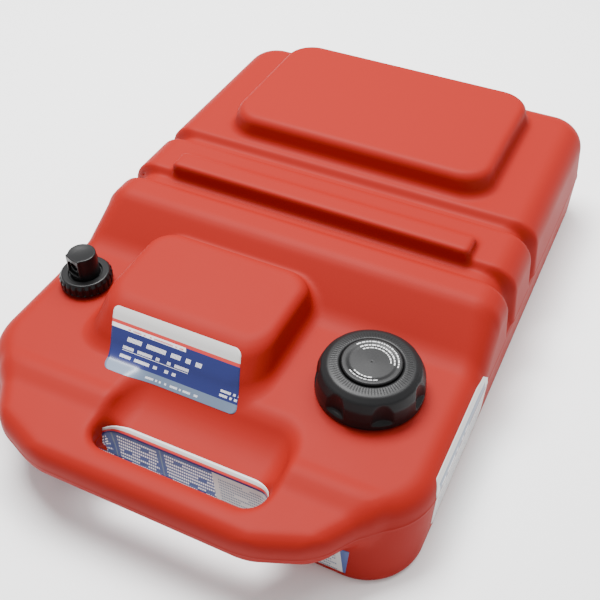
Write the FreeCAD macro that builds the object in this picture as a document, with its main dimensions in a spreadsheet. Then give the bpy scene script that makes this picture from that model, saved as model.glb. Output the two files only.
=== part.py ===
import FreeCAD, Part
import math
import os
import re
import Sketcher
from FreeCAD import Placement, Rotation, Vector

# Low, stackable portable fuel tank for an outboard motor, in millimetres.
# X is the width, Y runs from the carrying handle (front) to the rear wall, Z is up.
# The origin lies on the floor under the middle of the tank's outer box.
os.makedirs("parts", exist_ok=True)
doc = FreeCAD.newDocument("FuelTank")
sheet = doc.addObject("Spreadsheet::Sheet", "Dims")

# Driving dimensions
DIMENSIONS = [
    ("tank_length", 637), ("waist_width", 432), ("shoulder_lean", 6), ("base_lean", 1.5),
    ("wall", 4), ("base_edge", 7), ("waist_height", 56), ("shoulder_height", 117.3),
    ("shoulder_round", 26), ("rear_corner", 37), ("front_corner", 50), ("waist_corner", 58),
    ("foot_setback", 46), ("waist_setback", 60), ("deck_height", 80), ("deck_round", 20),
    ("slope_foot", 238), ("slope_crest", 286), ("front_block_end", 316),
    ("middle_start", 339), ("middle_end", 394), ("rear_start", 413),
    ("groove_side", 10), ("groove_drop", 7), ("block_edge", 7),
    ("pad_height", 142.2), ("pad_inset", 71), ("pad_start", 430), ("pad_rear_gap", 28),
    ("pad_corner", 30), ("pad_edge", 8), ("pad_draft", 7),
    ("recess_gap", 3), ("recess_depth", 23.5), ("bar_recess_depth", 14),
    ("bar_start", 333), ("bar_end", 368), ("bar_inset", 54), ("bar_rise", 12), ("bar_edge", 5),
    ("handle_width", 200), ("arm_inset", 32), ("handle_shoulder", 302), ("handle_setback", 21),
    ("handle_top", 76), ("handle_base", 40), ("handle_edge", 14),
    ("slot_width", 188), ("slot_start", 33), ("slot_end", 63),
    ("scoop_radius", 60), ("scoop_centre", 82), ("scoop_height", 121), ("scoop_width", 196),
    ("boss_side", 86), ("boss_width", 173), ("boss_toe", 104), ("boss_brow", 151), ("boss_end", 262),
    ("boss_height", 114.5), ("boss_corner", 24), ("boss_edge", 9),
    ("filler_side", 87.6), ("filler_y", 180.4), ("neck_radius", 34), ("neck_height", 22),
    ("cap_radius", 48.3), ("cap_height", 33.5), ("cap_lift_gap", 1.5), ("cap_wall", 2.4),
    ("core_wall", 2.4), ("core_plate", 3), ("disc_radius", 26.5), ("disc_height", 6),
    ("gasket_height", 2.2), ("fit_gap", 0.3), ("thread_depth", 1.6), ("thread_pitch", 8),
    ("thread_turns", 1.2), ("thread_start", 6), ("flute_count", 7), ("flute_radius", 15),
    ("flute_depth", 4.5), ("flute_start", 6.5), ("flute_turn", 47.4),
    ("core_start", 4), ("ratchet_radius", 37.5), ("ratchet_bore", 32), ("ratchet_height", 3),
    ("ratchet_notch", 3), ("ratchet_notches", 12), ("vent_floor", 2), ("vent_head", 7), ("seal_height", 0.7),
    ("vent_clip", 5.4),
    ("vent_radius", 9.5), ("vent_depth", 9), ("vent_bore", 6.2), ("vent_stem", 3), ("running_gap", 0.08),
    ("snug_gap", 0.05),
    ("spring_wire", 0.8), ("spring_turns", 5), ("vent_spring_radius", 4.9),
    ("outlet_side", 45.4), ("outlet_y", 186.5), ("outlet_neck_radius", 19.5), ("outlet_neck_height", 8.5),
    ("outlet_thread_depth", 1.1), ("outlet_thread_start", 2.2), ("outlet_pitch", 4),
    ("outlet_gasket_height", 1.5), ("nut_radius", 25.3), ("nut_start", 1), ("nut_notches", 24),
    ("nut_notch_width", 2.6), ("nut_notch_depth", 1.3), ("nut_lip", 2.2), ("nut_lip_bore", 16),
    ("washer_height", 0.8), ("flange_height", 2.2), ("flange_radius", 18.8), ("turret_radius", 14),
    ("turret_height", 38), ("turret_flat", 12.5), ("hood_width", 18.7), ("turret_start", 16.5),
    ("port_angle", 15),
    ("port_height", 27), ("port_radius", 4.6), ("port_shoulder", 2.5), ("shoulder_wall", 1.2),
    ("shoulder_bore", 2.4), ("chamber_radius", 3.9), ("chamber_end", 9.5), ("plug_radius", 5),
    ("plug_depth", 4), ("valve_radius", 3.6), ("valve_height", 2.5), ("valve_nose", 1.9),
    ("valve_stem", 1.5), ("valve_ring", 0.8), ("valve_spring_radius", 2.9), ("valve_wire", 0.6),
    ("arch_width", 13), ("arch_depth", 1.6), ("arch_drop", 7), ("tube_offset", 5), ("tube_radius", 4.8),
    ("tube_bore", 3.6), ("nipple_length", 11), ("fuel_bore", 2.2), ("tube_foot", 14),
    ("strainer_radius", 7.5), ("strainer_foot", 6), ("strainer_height", 22), ("strainer_slots", 8), ("label_height", 0.4),
    ("boss_label_width", 127), ("boss_label_length", 54), ("boss_label_shift", 7),
    ("boss_label_lean", 10), ("label_corner", 6),
    ("front_label_inset", 54), ("front_label_foot", 3), ("front_label_top", 53),
    ("label_margin", 4), ("spring_seat_gap", 0.25), ("side_label_start", 116),
    ("side_label_end", 254), ("side_label_foot", 14), ("side_label_top", 70), ("side_label_inset", 1.6),
]
for row, (alias, value) in enumerate(DIMENSIONS, start=1):
    sheet.set("A%d" % row, alias)
    sheet.set("B%d" % row, str(value))
    sheet.setAlias("B%d" % row, alias)
doc.recompute()


def size(alias):
    return float(sheet.get(alias))


half_length = size("tank_length") / 2
wall = size("wall")
gap = size("fit_gap")


def from_front(distance):
    return distance - half_length


# Helpers for outlines and solids
def rounded_rectangle(x_low, x_high, y_low, y_high, z, front, rear):
    points = [(x_low + front, y_low), (x_high - front, y_low), (x_high, y_low + front),
              (x_high, y_high - rear), (x_high - rear, y_high), (x_low + rear, y_high),
              (x_low, y_high - rear), (x_low, y_low + front)]
    turn = math.sqrt(0.5)
    centres = [(x_high - front, y_low + front, front, turn, -turn),
               (x_high - rear, y_high - rear, rear, turn, turn),
               (x_low + rear, y_high - rear, rear, -turn, turn),
               (x_low + front, y_low + front, front, -turn, -turn)]
    corners = [Vector(x, y, z) for x, y in points]
    edges = []
    for index in range(4):
        start = corners[2 * index]
        end = corners[2 * index + 1]
        edges.append(Part.makeLine(start, end))
        centre_x, centre_y, radius, cos_turn, sin_turn = centres[index]
        middle = Vector(centre_x + radius * cos_turn, centre_y + radius * sin_turn, z)
        edges.append(Part.Arc(end, middle, corners[(2 * index + 2) % 8]).toShape())
    return Part.Wire(edges)


def loft(wires):
    return Part.makeLoft(wires, True, True)


def polygon_face(points):
    return Part.Face(Part.makePolygon(points + [points[0]]))


def edges_where(shape, test):
    return [edge for edge in shape.Edges if test(edge.BoundBox)]


def place_feature(label, shape):
    feature = doc.addObject("Part::Feature", label)
    feature.Label = label
    feature.Shape = shape
    return feature


boss_left = size("boss_side") - size("waist_width") / 2


# Tank shell: one blown skin, the outer form less the same form drawn in by the wall
def side_lean(height):
    rise = size("shoulder_height") - size("waist_height")
    return size("shoulder_lean") * (height - size("waist_height")) / rise


def half_section(inset, top, edge, side_inset):
    waist = size("waist_width") / 2 - inset - side_inset
    shoulder = waist - side_lean(top)
    low = size("waist_height") - 1
    outline = [Vector(waist, 0, low), Vector(waist, 0, size("waist_height")), Vector(shoulder, 0, top),
               Vector(-shoulder, 0, top), Vector(-waist, 0, size("waist_height")), Vector(-waist, 0, low)]
    return polygon_face(outline), edge


def block(inset, start, end, top, edge, side_inset=0.0, end_edge=None):
    face, top_edge = half_section(inset, top, edge, side_inset)
    face.translate(Vector(0, from_front(start), 0))
    solid = face.extrude(Vector(0, end - start, 0))
    long_edges = edges_where(solid, lambda box: box.YLength > end - start - 0.1 and box.ZMax > top - 0.1)
    solid = solid.makeFillet(top_edge, long_edges)
    if end_edge:
        near_ends = edges_where(solid, lambda box: box.YLength < 0.01 and box.ZMax > size("waist_height") + 1)
        solid = solid.makeFillet(end_edge, near_ends)
    return solid


def body_envelope(inset):
    front_corner = size("front_corner") - inset
    waist_corner = size("waist_corner") - inset
    rear_corner = size("rear_corner") - inset
    end = half_length - inset
    waist = size("waist_width") / 2 - inset
    base = waist - size("base_lean")
    top_height = size("shoulder_height") + 1
    shoulder = waist - side_lean(top_height)
    foot = rounded_rectangle(-base, base, from_front(size("foot_setback")) + inset, end, inset,
                             front_corner, rear_corner)
    middle = rounded_rectangle(-waist, waist, from_front(size("waist_setback")) + inset, end,
                               size("waist_height"), waist_corner, rear_corner)
    top = rounded_rectangle(-shoulder, shoulder, from_front(size("waist_setback")) + inset, end,
                            top_height, waist_corner, rear_corner)
    lower = loft([foot, middle])
    lower = lower.makeFillet(size("base_edge"), edges_where(lower, lambda box: box.ZMax < inset + 0.01))
    return lower, loft([middle, top])


def side_outline(inset):
    deck = size("deck_height") - inset
    crest = size("shoulder_height") - inset
    low = size("waist_height") - 1
    front = from_front(size("waist_setback")) + inset
    end = half_length - inset
    slope = inset * 0.4
    points = [Vector(0, front, low), Vector(0, front, deck),
              Vector(0, from_front(size("slope_foot")) + slope, deck),
              Vector(0, from_front(size("slope_crest")) + slope, crest),
              Vector(0, end, crest), Vector(0, end, low)]
    half = size("waist_width")
    solid = polygon_face(points).extrude(Vector(2 * half, 0, 0))
    solid.translate(Vector(-half, 0, 0))

    def across(y, z):
        return edges_where(solid, lambda box: box.XLength > half and abs(box.YMin - y) < 0.1
                           and abs(box.YMax - y) < 0.1 and abs(box.ZMax - z) < 0.1 and box.ZLength < 0.1)

    solid = solid.makeFillet(size("shoulder_round") - inset, across(end, crest))
    solid = solid.makeFillet(18, across(from_front(size("slope_crest")) + slope, crest))
    solid = solid.makeFillet(22, across(from_front(size("slope_foot")) + slope, deck))
    return solid.makeFillet(10, across(front, deck))


def stack_pad(inset):
    half = size("waist_width") / 2 - size("pad_inset") - inset
    draft = size("pad_draft")
    start = from_front(size("pad_start")) + inset
    end = half_length - size("pad_rear_gap") - inset
    corner = size("pad_corner") - inset
    low = size("shoulder_height") - 10
    base = rounded_rectangle(-half - draft, half + draft, start - draft, end + draft, low,
                             corner + draft, corner + draft)
    top = rounded_rectangle(-half, half, start, end, size("pad_height") - inset, corner, corner)
    pad = loft([base, top])
    top_edges = edges_where(pad, lambda box: box.ZMin > size("pad_height") - inset - 0.1)
    return pad.makeFillet(size("pad_edge") - inset / 2, top_edges)


def rib_bar(inset):
    half = size("waist_width") / 2 - size("bar_inset") - inset
    top = size("shoulder_height") + size("bar_rise") - inset
    low = size("shoulder_height") - size("bar_rise") - 2
    bar = Part.makeBox(2 * half, size("bar_end") - size("bar_start") - 2 * inset, top - low,
                       Vector(-half, from_front(size("bar_start")) + inset, low))
    return bar.makeFillet(size("bar_edge"), edges_where(bar, lambda box: box.ZMax > top - 0.01))


def label_boss(inset):
    left = boss_left + inset
    right = boss_left + size("boss_width") - inset
    top = size("boss_height") - inset
    low = size("waist_height") + 1
    toe = size("boss_toe") + inset * 1.4
    brow = size("boss_brow") + inset * 0.4
    end = size("boss_end") - inset
    toe_height = size("deck_height") - 12
    points = [Vector(left, from_front(toe), low), Vector(left, from_front(toe), toe_height - inset),
              Vector(left, from_front(brow), top),
              Vector(left, from_front(end), top), Vector(left, from_front(end), low)]
    wedge = polygon_face(points).extrude(Vector(right - left, 0, 0))
    plan = rounded_rectangle(left, right, from_front(toe), from_front(end), low,
                             size("boss_corner") - inset, size("boss_corner") - inset)
    column = Part.Face(plan).extrude(Vector(0, 0, top - low))
    boss = wedge.common(column).removeSplitter()
    top_edges = edges_where(boss, lambda box: box.ZMin > top - 0.05)
    return boss.makeFillet(size("boss_edge") - inset, top_edges)


def handle_outline(inset, z):
    nose = size("handle_width") / 2
    shoulder = size("handle_shoulder") / 2
    arm = size("waist_width") / 2 - size("arm_inset")
    points = [(-nose, 0), (nose, 0), (shoulder, size("handle_setback")), (arm, size("waist_setback") + 11),
              (arm, size("boss_toe") + 40), (-arm, size("boss_toe") + 40),
              (-arm, size("waist_setback") + 11), (-shoulder, size("handle_setback"))]
    outline = Part.makePolygon([Vector(x, from_front(y), z) for x, y in points + [points[0]]])
    face = Part.Face(outline)
    return face.makeOffset2D(-inset) if inset else face


def handle_shelf(inset):
    low = size("handle_base") + inset
    top = size("handle_top") - inset
    shelf = handle_outline(inset, low).extrude(Vector(0, 0, top - low))
    uprights = edges_where(shelf, lambda box: box.ZLength > top - low - 0.1
                           and box.YMax < from_front(size("waist_setback")))
    shelf = shelf.makeFillet(30 - inset, uprights)
    front_limit = from_front(size("boss_toe")) + 30
    rims = edges_where(shelf, lambda box: box.ZLength < 0.1 and box.YMin < front_limit)
    return shelf.makeFillet(size("handle_edge") - inset, rims)


def hand_slot(inset):
    half = size("slot_width") / 2 + inset
    start = from_front(size("slot_start")) - inset
    end = from_front(size("slot_end")) + inset
    corner = (end - start) / 2 - 1
    low = size("handle_base") - 1
    high = size("pad_height")
    slot = Part.Face(rounded_rectangle(-half, half, start, end, low, corner, corner))
    foot = from_front(size("foot_setback")) + inset
    lean = (size("waist_setback") - size("foot_setback")) / (size("waist_height") - inset)
    wall_points = [Vector(-2 * half, foot, inset), Vector(-2 * half, foot + lean * (high - inset), high),
                   Vector(-2 * half, start - half, high), Vector(-2 * half, start - half, inset)]
    clear_of_wall = polygon_face(wall_points).extrude(Vector(4 * half, 0, 0))
    return slot.extrude(Vector(0, 0, high)).common(clear_of_wall)


def hand_scoop(inset):
    half = size("scoop_width") / 2 + inset
    return Part.makeCylinder(size("scoop_radius") + inset, 2 * half,
                             Vector(-half, from_front(size("scoop_centre")), size("scoop_height")),
                             Vector(1, 0, 0))


def stacking_recess(growth):
    half = size("waist_width") / 2 - size("pad_inset") + size("recess_gap") + growth
    draft = size("pad_draft")
    start = from_front(size("pad_start")) - size("recess_gap") - growth
    end = half_length - size("pad_rear_gap") + size("recess_gap") + growth
    corner = size("pad_corner") + size("recess_gap") + growth
    low = -1.0
    mouth = rounded_rectangle(-half - draft, half + draft, start - draft, end + draft, low,
                              corner + draft, corner + draft)
    roof = rounded_rectangle(-half, half, start, end, size("recess_depth") + growth, corner, corner)
    recess = loft([mouth, roof])
    return recess.makeFillet(5, edges_where(recess, lambda box: box.ZMin > size("recess_depth") - 0.1))


def bar_recess(growth):
    spread = size("recess_gap") + growth
    half = size("waist_width") / 2 - size("bar_inset") + spread
    start = from_front(size("bar_start")) - spread
    end = from_front(size("bar_end")) + spread
    corner = size("bar_edge") + spread
    outline = rounded_rectangle(-half, half, start, end, -1.0, corner, corner)
    recess = Part.Face(outline).extrude(Vector(0, 0, size("bar_recess_depth") + growth + 1))
    return recess.makeFillet(3, edges_where(recess, lambda box: box.ZMin > 1))


def tank_form(inset):
    lower, upper = body_envelope(inset)
    round_off = size("shoulder_round") - inset
    top = size("shoulder_height") - inset
    end_edge = size("block_edge")
    rows = [(size("slope_foot") - 30, size("front_block_end")), (size("middle_start"), size("middle_end"))]
    core = block(inset, size("foot_setback") - 5, size("tank_length") - 8, top - size("groove_drop"),
                 round_off, size("groove_side"))
    deck = block(inset, size("foot_setback"), size("slope_foot") + 20, size("deck_height") - inset,
                 size("deck_round") - inset)
    blocks = core.fuse(deck)
    for start, end in rows:
        blocks = blocks.fuse(block(inset, start + inset, end - inset, top, round_off, 0.0, end_edge))
    rear = block(inset, size("rear_start") + inset, size("tank_length") + 60, top, round_off, 0.0, end_edge)
    blocks = blocks.fuse(rear)
    upper = upper.common(side_outline(inset)).common(blocks)
    form = lower.fuse([upper, stack_pad(inset), rib_bar(inset), handle_shelf(inset)])
    form = form.cut(hand_scoop(inset)).fuse(label_boss(inset))
    form = form.cut(hand_slot(inset))
    form = form.cut(bar_recess(inset))
    return form.cut(stacking_recess(inset)).removeSplitter()


def thread_ridge(radius, depth, low, turns, pitch, outward):
    helix = Part.makeHelix(pitch, pitch * turns, radius)
    side = depth if outward else -depth
    root = -0.4 if outward else 0.4
    foot = pitch * 0.19
    crest = pitch * 0.08
    points = [Vector(radius + root, 0, -foot), Vector(radius + side, 0, -crest),
              Vector(radius + side, 0, crest), Vector(radius + root, 0, foot)]
    profile = Part.makePolygon(points + [points[0]])
    ridge = Part.Wire(helix.Edges).makePipeShell([profile], True, True)
    ridge.translate(Vector(0, 0, low))
    return ridge


half_waist = size("waist_width") / 2
filler = Vector(half_waist - size("filler_side"), from_front(size("filler_y")), size("deck_height"))
outlet = Vector(size("outlet_side") - half_waist, from_front(size("outlet_y")), size("deck_height"))
neck_bore = size("neck_radius") - wall
outlet_bore = size("outlet_neck_radius") - wall
core_bore = size("neck_radius") + size("thread_depth") + gap + 0.1
nut_bore = size("outlet_neck_radius") + size("outlet_thread_depth") + gap + 0.1


def necks():
    sink = wall / 2
    filler_neck = Part.makeCylinder(size("neck_radius"), size("neck_height") + sink,
                                    filler - Vector(0, 0, sink))
    ridge = thread_ridge(size("neck_radius"), size("thread_depth"), size("thread_start"),
                         size("thread_turns"), size("thread_pitch"), True)
    ridge.translate(filler)
    outlet_neck = Part.makeCylinder(size("outlet_neck_radius"), size("outlet_neck_height") + sink,
                                    outlet - Vector(0, 0, sink))
    small_ridge = thread_ridge(size("outlet_neck_radius"), size("outlet_thread_depth"),
                               size("outlet_thread_start"), 1, size("outlet_pitch"), True)
    small_ridge.translate(outlet)
    return filler_neck.fuse(ridge).fuse(outlet_neck).fuse(small_ridge)


def make_tank_shell():
    shell = tank_form(0.0).cut(tank_form(wall)).fuse(necks())
    deep = size("neck_height") + 3 * wall
    shell = shell.cut(Part.makeCylinder(neck_bore, deep, filler - Vector(0, 0, 2 * wall)))
    shell = shell.cut(Part.makeCylinder(outlet_bore, deep, outlet - Vector(0, 0, 2 * wall)))
    pocket = Part.makeBox(10, size("side_label_end") - size("side_label_start") + 1,
                          size("side_label_top") - size("side_label_foot") + 1,
                          Vector(size("waist_width") / 2 - size("side_label_inset"),
                                 from_front(size("side_label_start")) - 0.5,
                                 size("side_label_foot") - 0.5))
    return shell.cut(pocket)


# Turned and moulded pieces: each is a body whose sketch follows the sheet
def bind(formula):
    return re.sub(r"[a-z][a-z_]{2,}", lambda word: "Dims." + word.group(0), formula)


def plane_of(body, role):
    return [item for item in body.Origin.OriginFeatures if item.Role == role][0]


def worked(formula):
    return float(sheet.evalExpression(bind(formula)))


def pin_point(sketch, edge, point, across, up):
    for formula, axis, kind in ((across, -2, "DistanceX"), (up, -1, "DistanceY")):
        if formula == "0":
            sketch.addConstraint(Sketcher.Constraint("PointOnObject", edge, point, axis))
        else:
            number = sketch.addConstraint(Sketcher.Constraint(kind, -1, 1, edge, point, worked(formula)))
            sketch.setExpression("Constraints[%d]" % number, bind(formula))


def turned(label, outline, base, place_x, place_y):
    body = doc.addObject("PartDesign::Body", label)
    body.Label = label
    sketch = body.newObject("Sketcher::SketchObject", label + "_profile")
    sketch.AttachmentSupport = [(plane_of(body, "XZ_Plane"), "")]
    sketch.MapMode = "FlatFace"
    points = [Vector(worked(across), worked(up), 0) for across, up in outline]
    count = len(points)
    for index in range(count):
        sketch.addGeometry(Part.LineSegment(points[index], points[(index + 1) % count]), False)
    for index in range(count):
        sketch.addConstraint(Sketcher.Constraint("Coincident", index, 2, (index + 1) % count, 1))
    for index, (across, up) in enumerate(outline):
        pin_point(sketch, index, 1, across, up)
    spin = body.newObject("PartDesign::Revolution", label + "_turn")
    spin.Profile = sketch
    spin.ReferenceAxis = (sketch, ["V_Axis"])
    spin.Angle = 360
    body.setExpression(".Placement.Base.x", bind(place_x))
    body.setExpression(".Placement.Base.y", bind(place_y))
    body.setExpression(".Placement.Base.z", bind(base))
    doc.recompute()
    return body


def repeated_pocket(body, label, outline, low, count):
    sketch = body.newObject("Sketcher::SketchObject", label + "_outline")
    sketch.AttachmentSupport = [(plane_of(body, "XY_Plane"), "")]
    sketch.MapMode = "FlatFace"
    sketch.setExpression(".AttachmentOffset.Base.z", bind(low))
    if len(outline) == 2:
        distance, radius = outline
        circle = Part.Circle(Vector(worked(distance), 0, 0), Vector(0, 0, 1), worked(radius))
        sketch.addGeometry(circle, False)
        sketch.addConstraint(Sketcher.Constraint("PointOnObject", 0, 3, -1))
        number = sketch.addConstraint(Sketcher.Constraint("DistanceX", -1, 1, 0, 3, worked(distance)))
        sketch.setExpression("Constraints[%d]" % number, bind(distance))
        number = sketch.addConstraint(Sketcher.Constraint("Radius", 0, worked(radius)))
        sketch.setExpression("Constraints[%d]" % number, bind(radius))
    else:
        near, far, half = outline
        corners = [(near, "-(" + half + ")"), (far, "-(" + half + ")"), (far, half), (near, half)]
        points = [Vector(worked(across), worked(up), 0) for across, up in corners]
        for index in range(4):
            sketch.addGeometry(Part.LineSegment(points[index], points[(index + 1) % 4]), False)
        for index in range(4):
            sketch.addConstraint(Sketcher.Constraint("Coincident", index, 2, (index + 1) % 4, 1))
        for index, (across, up) in enumerate(corners):
            pin_point(sketch, index, 1, across, up)
    doc.recompute()
    before = body.Shape.Volume
    cut = body.newObject("PartDesign::Pocket", label + "_cut")
    cut.Profile = sketch
    cut.Type = "ThroughAll"
    cut.Reversed = True
    doc.recompute()
    pattern = body.newObject("PartDesign::PolarPattern", label + "_ring")
    pattern.Originals = [cut]
    pattern.Axis = (plane_of(body, "Z_Axis"), [""])
    pattern.Angle = 360
    pattern.setExpression("Occurrences", bind(count))
    body.Tip = pattern
    doc.recompute()
    if not body.Shape.Volume < before - 1:
        raise ValueError(label + " cuts nothing")


def spring(label, radius, wire, low, high, turns, origin, axis):
    pitch = (high - low - wire) / turns
    helix = Part.makeHelix(pitch, pitch * turns, radius)
    section = Part.Wire([Part.makeCircle(wire / 2, Vector(radius, 0, 0), Vector(0, 1, 0))])
    coil = Part.Wire(helix.Edges).makePipeShell([section], True, True)
    feature = place_feature(label, coil)
    feature.Placement = Placement(origin + axis * (low + wire / 2), Rotation(Vector(0, 0, 1), axis))
    print("%s: %.1f mm free between turns" % (label, pitch - wire))
    return feature


FILLER = ("waist_width / 2 - filler_side", "filler_y - tank_length / 2")
OUTLET = ("outlet_side - waist_width / 2", "outlet_y - tank_length / 2")
CORE_BORE = "(neck_radius + thread_depth + fit_gap + 0.1)"
CORE_RADIUS = "(neck_radius + thread_depth + fit_gap + 0.1 + core_wall)"
SHELL_BORE = "(neck_radius + thread_depth + 2 * fit_gap + 0.1 + core_wall)"
PLATE = "(neck_height + gasket_height)"
PLATE_TOP = "(neck_height + gasket_height + core_plate)"
SEAT_LOW = "(neck_height + gasket_height + core_plate + fit_gap)"


def make_cap_shell():
    lift = "cap_lift_gap"
    skirt = "(cap_radius - flute_depth - cap_wall)"
    rim = "cap_height - cap_lift_gap"
    seat = "(" + SEAT_LOW + " + 1.5 - cap_lift_gap)"
    floor = "(" + SEAT_LOW + " - cap_lift_gap)"
    roof = "(" + SEAT_LOW + " + ratchet_height - cap_lift_gap)"
    outline = [
        (skirt, "0"), ("cap_radius", "0"), ("cap_radius", "8"), ("cap_radius - 1.1", "20"),
        ("cap_radius - 4.3", "28"), ("cap_radius - 9.8", rim + " - 0.6"), ("disc_radius + 2", rim),
        ("disc_radius + 0.3", rim + " - 1.4"), ("disc_radius + 0.3", seat), ("0", seat), ("0", floor),
        ("ratchet_bore - 0.5", floor), ("ratchet_bore - 0.5", roof), (SHELL_BORE, roof),
        (SHELL_BORE, "core_start + 12"), (skirt, "core_start + 12"),
    ]
    body = turned("filler_cap_shell", outline, "deck_height + " + lift, *FILLER)
    flute = ("cap_radius + flute_radius - flute_depth", "flute_radius")
    repeated_pocket(body, "flute", flute, "flute_start", "flute_count")
    body.setExpression(".Placement.Rotation.Angle", bind("flute_turn"))
    doc.recompute()


def make_cap_core():
    drop = "(" + PLATE + " - core_start)"
    outline = [
        (CORE_BORE, "0"), (CORE_RADIUS, "0"), (CORE_RADIUS, drop + " + core_plate"),
        ("vent_radius + snug_gap", drop + " + core_plate"), ("vent_radius + snug_gap", drop),
        (CORE_BORE, drop),
    ]
    body = turned("cap_core_blank", outline, "deck_height + core_start", *FILLER)
    start = size("thread_start") + size("thread_pitch") / 2
    ridge = thread_ridge(core_bore, size("thread_depth"), start, size("thread_turns") - 0.2,
                         size("thread_pitch"), False)
    ridge.translate(filler)
    place_feature("cap_core", body.Shape.fuse(ridge))


def make_cap_pieces():
    turned("cap_disc", [
        ("0", "0"), ("disc_radius", "0"), ("disc_radius", "disc_height - 1"),
        ("disc_radius - 1", "disc_height"), ("disc_radius - 5", "disc_height"),
        ("disc_radius - 6", "disc_height - 0.8"), ("0", "disc_height - 0.8"),
    ], "deck_height + 1.5 + " + SEAT_LOW, *FILLER)
    turned("cap_gasket", [
        ("neck_radius - wall + 0.5", "0"), ("neck_radius", "0"), ("neck_radius", "gasket_height"),
        ("neck_radius - wall + 0.5", "gasket_height"),
    ], "deck_height + neck_height", *FILLER)
    ring = turned("cap_ratchet_ring", [
        ("ratchet_bore", "0"), ("ratchet_radius", "0"), ("ratchet_radius", "ratchet_height"),
        ("ratchet_bore", "ratchet_height"),
    ], "deck_height + " + PLATE_TOP, *FILLER)
    notch = ("ratchet_bore - 1", "ratchet_bore + ratchet_notch", "1.5")
    repeated_pocket(ring, "notch", notch, "-1", "ratchet_notches")


def make_vent():
    low = "deck_height + " + PLATE_TOP + " - core_plate - vent_depth"
    tall = "vent_depth + core_plate"
    turned("vent_valve_body", [
        ("vent_stem + running_gap", "0"), ("vent_radius", "0"), ("vent_radius", tall),
        ("vent_bore", tall), ("vent_bore", "vent_floor"), ("vent_stem + running_gap", "vent_floor"),
    ], low, *FILLER)
    turned("vent_seal", [
        ("vent_stem + 1.5", "0"), ("vent_head", "0"), ("vent_head", "seal_height"),
        ("vent_stem + 1.5", "seal_height"),
    ], low + " - seal_height", *FILLER)
    head = "2.2"
    stem = "(" + tall + " + seal_height + " + head + " - 1.2)"
    turned("vent_poppet", [
        ("0", "0"), ("vent_head", "0"), ("vent_head", head), ("vent_stem", head),
        ("vent_stem", stem + " - 1.5"), ("vent_clip", stem + " - 1.5"), ("vent_clip", stem), ("0", stem),
    ], low + " - seal_height - " + head, *FILLER)
    top = size("vent_depth") + size("core_plate") - 1.2 - 1.5
    base = filler + Vector(0, 0, worked(PLATE_TOP) - size("core_plate") - size("vent_depth"))
    seat = size("spring_seat_gap")
    spring("vent_spring", size("vent_spring_radius"), size("spring_wire"), size("vent_floor") + seat,
           top - seat, size("spring_turns"), base, Vector(0, 0, 1))


def make_ring_nut():
    high = "(outlet_neck_height + outlet_gasket_height + flange_height + washer_height - nut_start)"
    bore = "(outlet_neck_radius + outlet_thread_depth + fit_gap + 0.1)"
    outline = [
        (bore, "0"), ("nut_radius - 0.8", "0"), ("nut_radius", "0.8"), ("nut_radius", high + " - 2"),
        ("nut_radius - 2.6", high + " + nut_lip"), ("nut_lip_bore", high + " + nut_lip"),
        ("nut_lip_bore", high), (bore, high),
    ]
    body = turned("nut_blank", outline, "deck_height + nut_start", *OUTLET)
    notch = ("nut_radius - nut_notch_depth", "nut_radius + 3", "nut_notch_width / 2")
    repeated_pocket(body, "nut_notch", notch, "-1", "nut_notches")
    start = size("outlet_thread_start") + size("outlet_pitch") / 2
    ridge = thread_ridge(nut_bore, size("outlet_thread_depth"), start, 0.9, size("outlet_pitch"), False)
    ridge.translate(outlet)
    place_feature("outlet_ring_nut", body.Shape.fuse(ridge))


def make_outlet_rings():
    turned("outlet_gasket", [
        ("outlet_neck_radius - wall + 0.3", "0"), ("outlet_neck_radius", "0"),
        ("outlet_neck_radius", "outlet_gasket_height"),
        ("outlet_neck_radius - wall + 0.3", "outlet_gasket_height"),
    ], "deck_height + outlet_neck_height", *OUTLET)
    turned("outlet_slip_washer", [
        ("nut_lip_bore", "0"), ("flange_radius", "0"), ("flange_radius", "washer_height"),
        ("nut_lip_bore", "washer_height"),
    ], "deck_height + outlet_neck_height + outlet_gasket_height + flange_height", *OUTLET)


# Outlet turret: primitives and cuts in the turret's own frame, the port facing -Y
def solid_cylinder(name, radius, height, x="0", y="0", z="0", along_y=False):
    item = doc.addObject("Part::Cylinder", name)
    item.setExpression("Radius", bind(radius))
    item.setExpression("Height", bind(height))
    turn = Rotation(Vector(1, 0, 0), -90) if along_y else Rotation()
    item.Placement = Placement(Vector(0, 0, 0), turn)
    for axis, formula in (("x", x), ("y", y), ("z", z)):
        item.setExpression(".Placement.Base." + axis, bind(formula))
    return item


def solid_box(name, length, width, height, x, y, z):
    item = doc.addObject("Part::Box", name)
    for prop, formula in (("Length", length), ("Width", width), ("Height", height)):
        item.setExpression(prop, bind(formula))
    for axis, formula in (("x", x), ("y", y), ("z", z)):
        item.setExpression(".Placement.Base." + axis, bind(formula))
    return item


def combine(kind, name, items):
    result = doc.addObject(kind, name)
    result.Label = name
    if kind == "Part::Cut":
        result.Base, result.Tool = items
    else:
        result.Shapes = items
    return result


def at_outlet(item):
    turn = Rotation(Vector(0, 0, 1), -size("port_angle"))
    item.Placement = Placement(outlet, turn)
    doc.recompute()


FLANGE = "(outlet_neck_height + outlet_gasket_height)"


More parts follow.
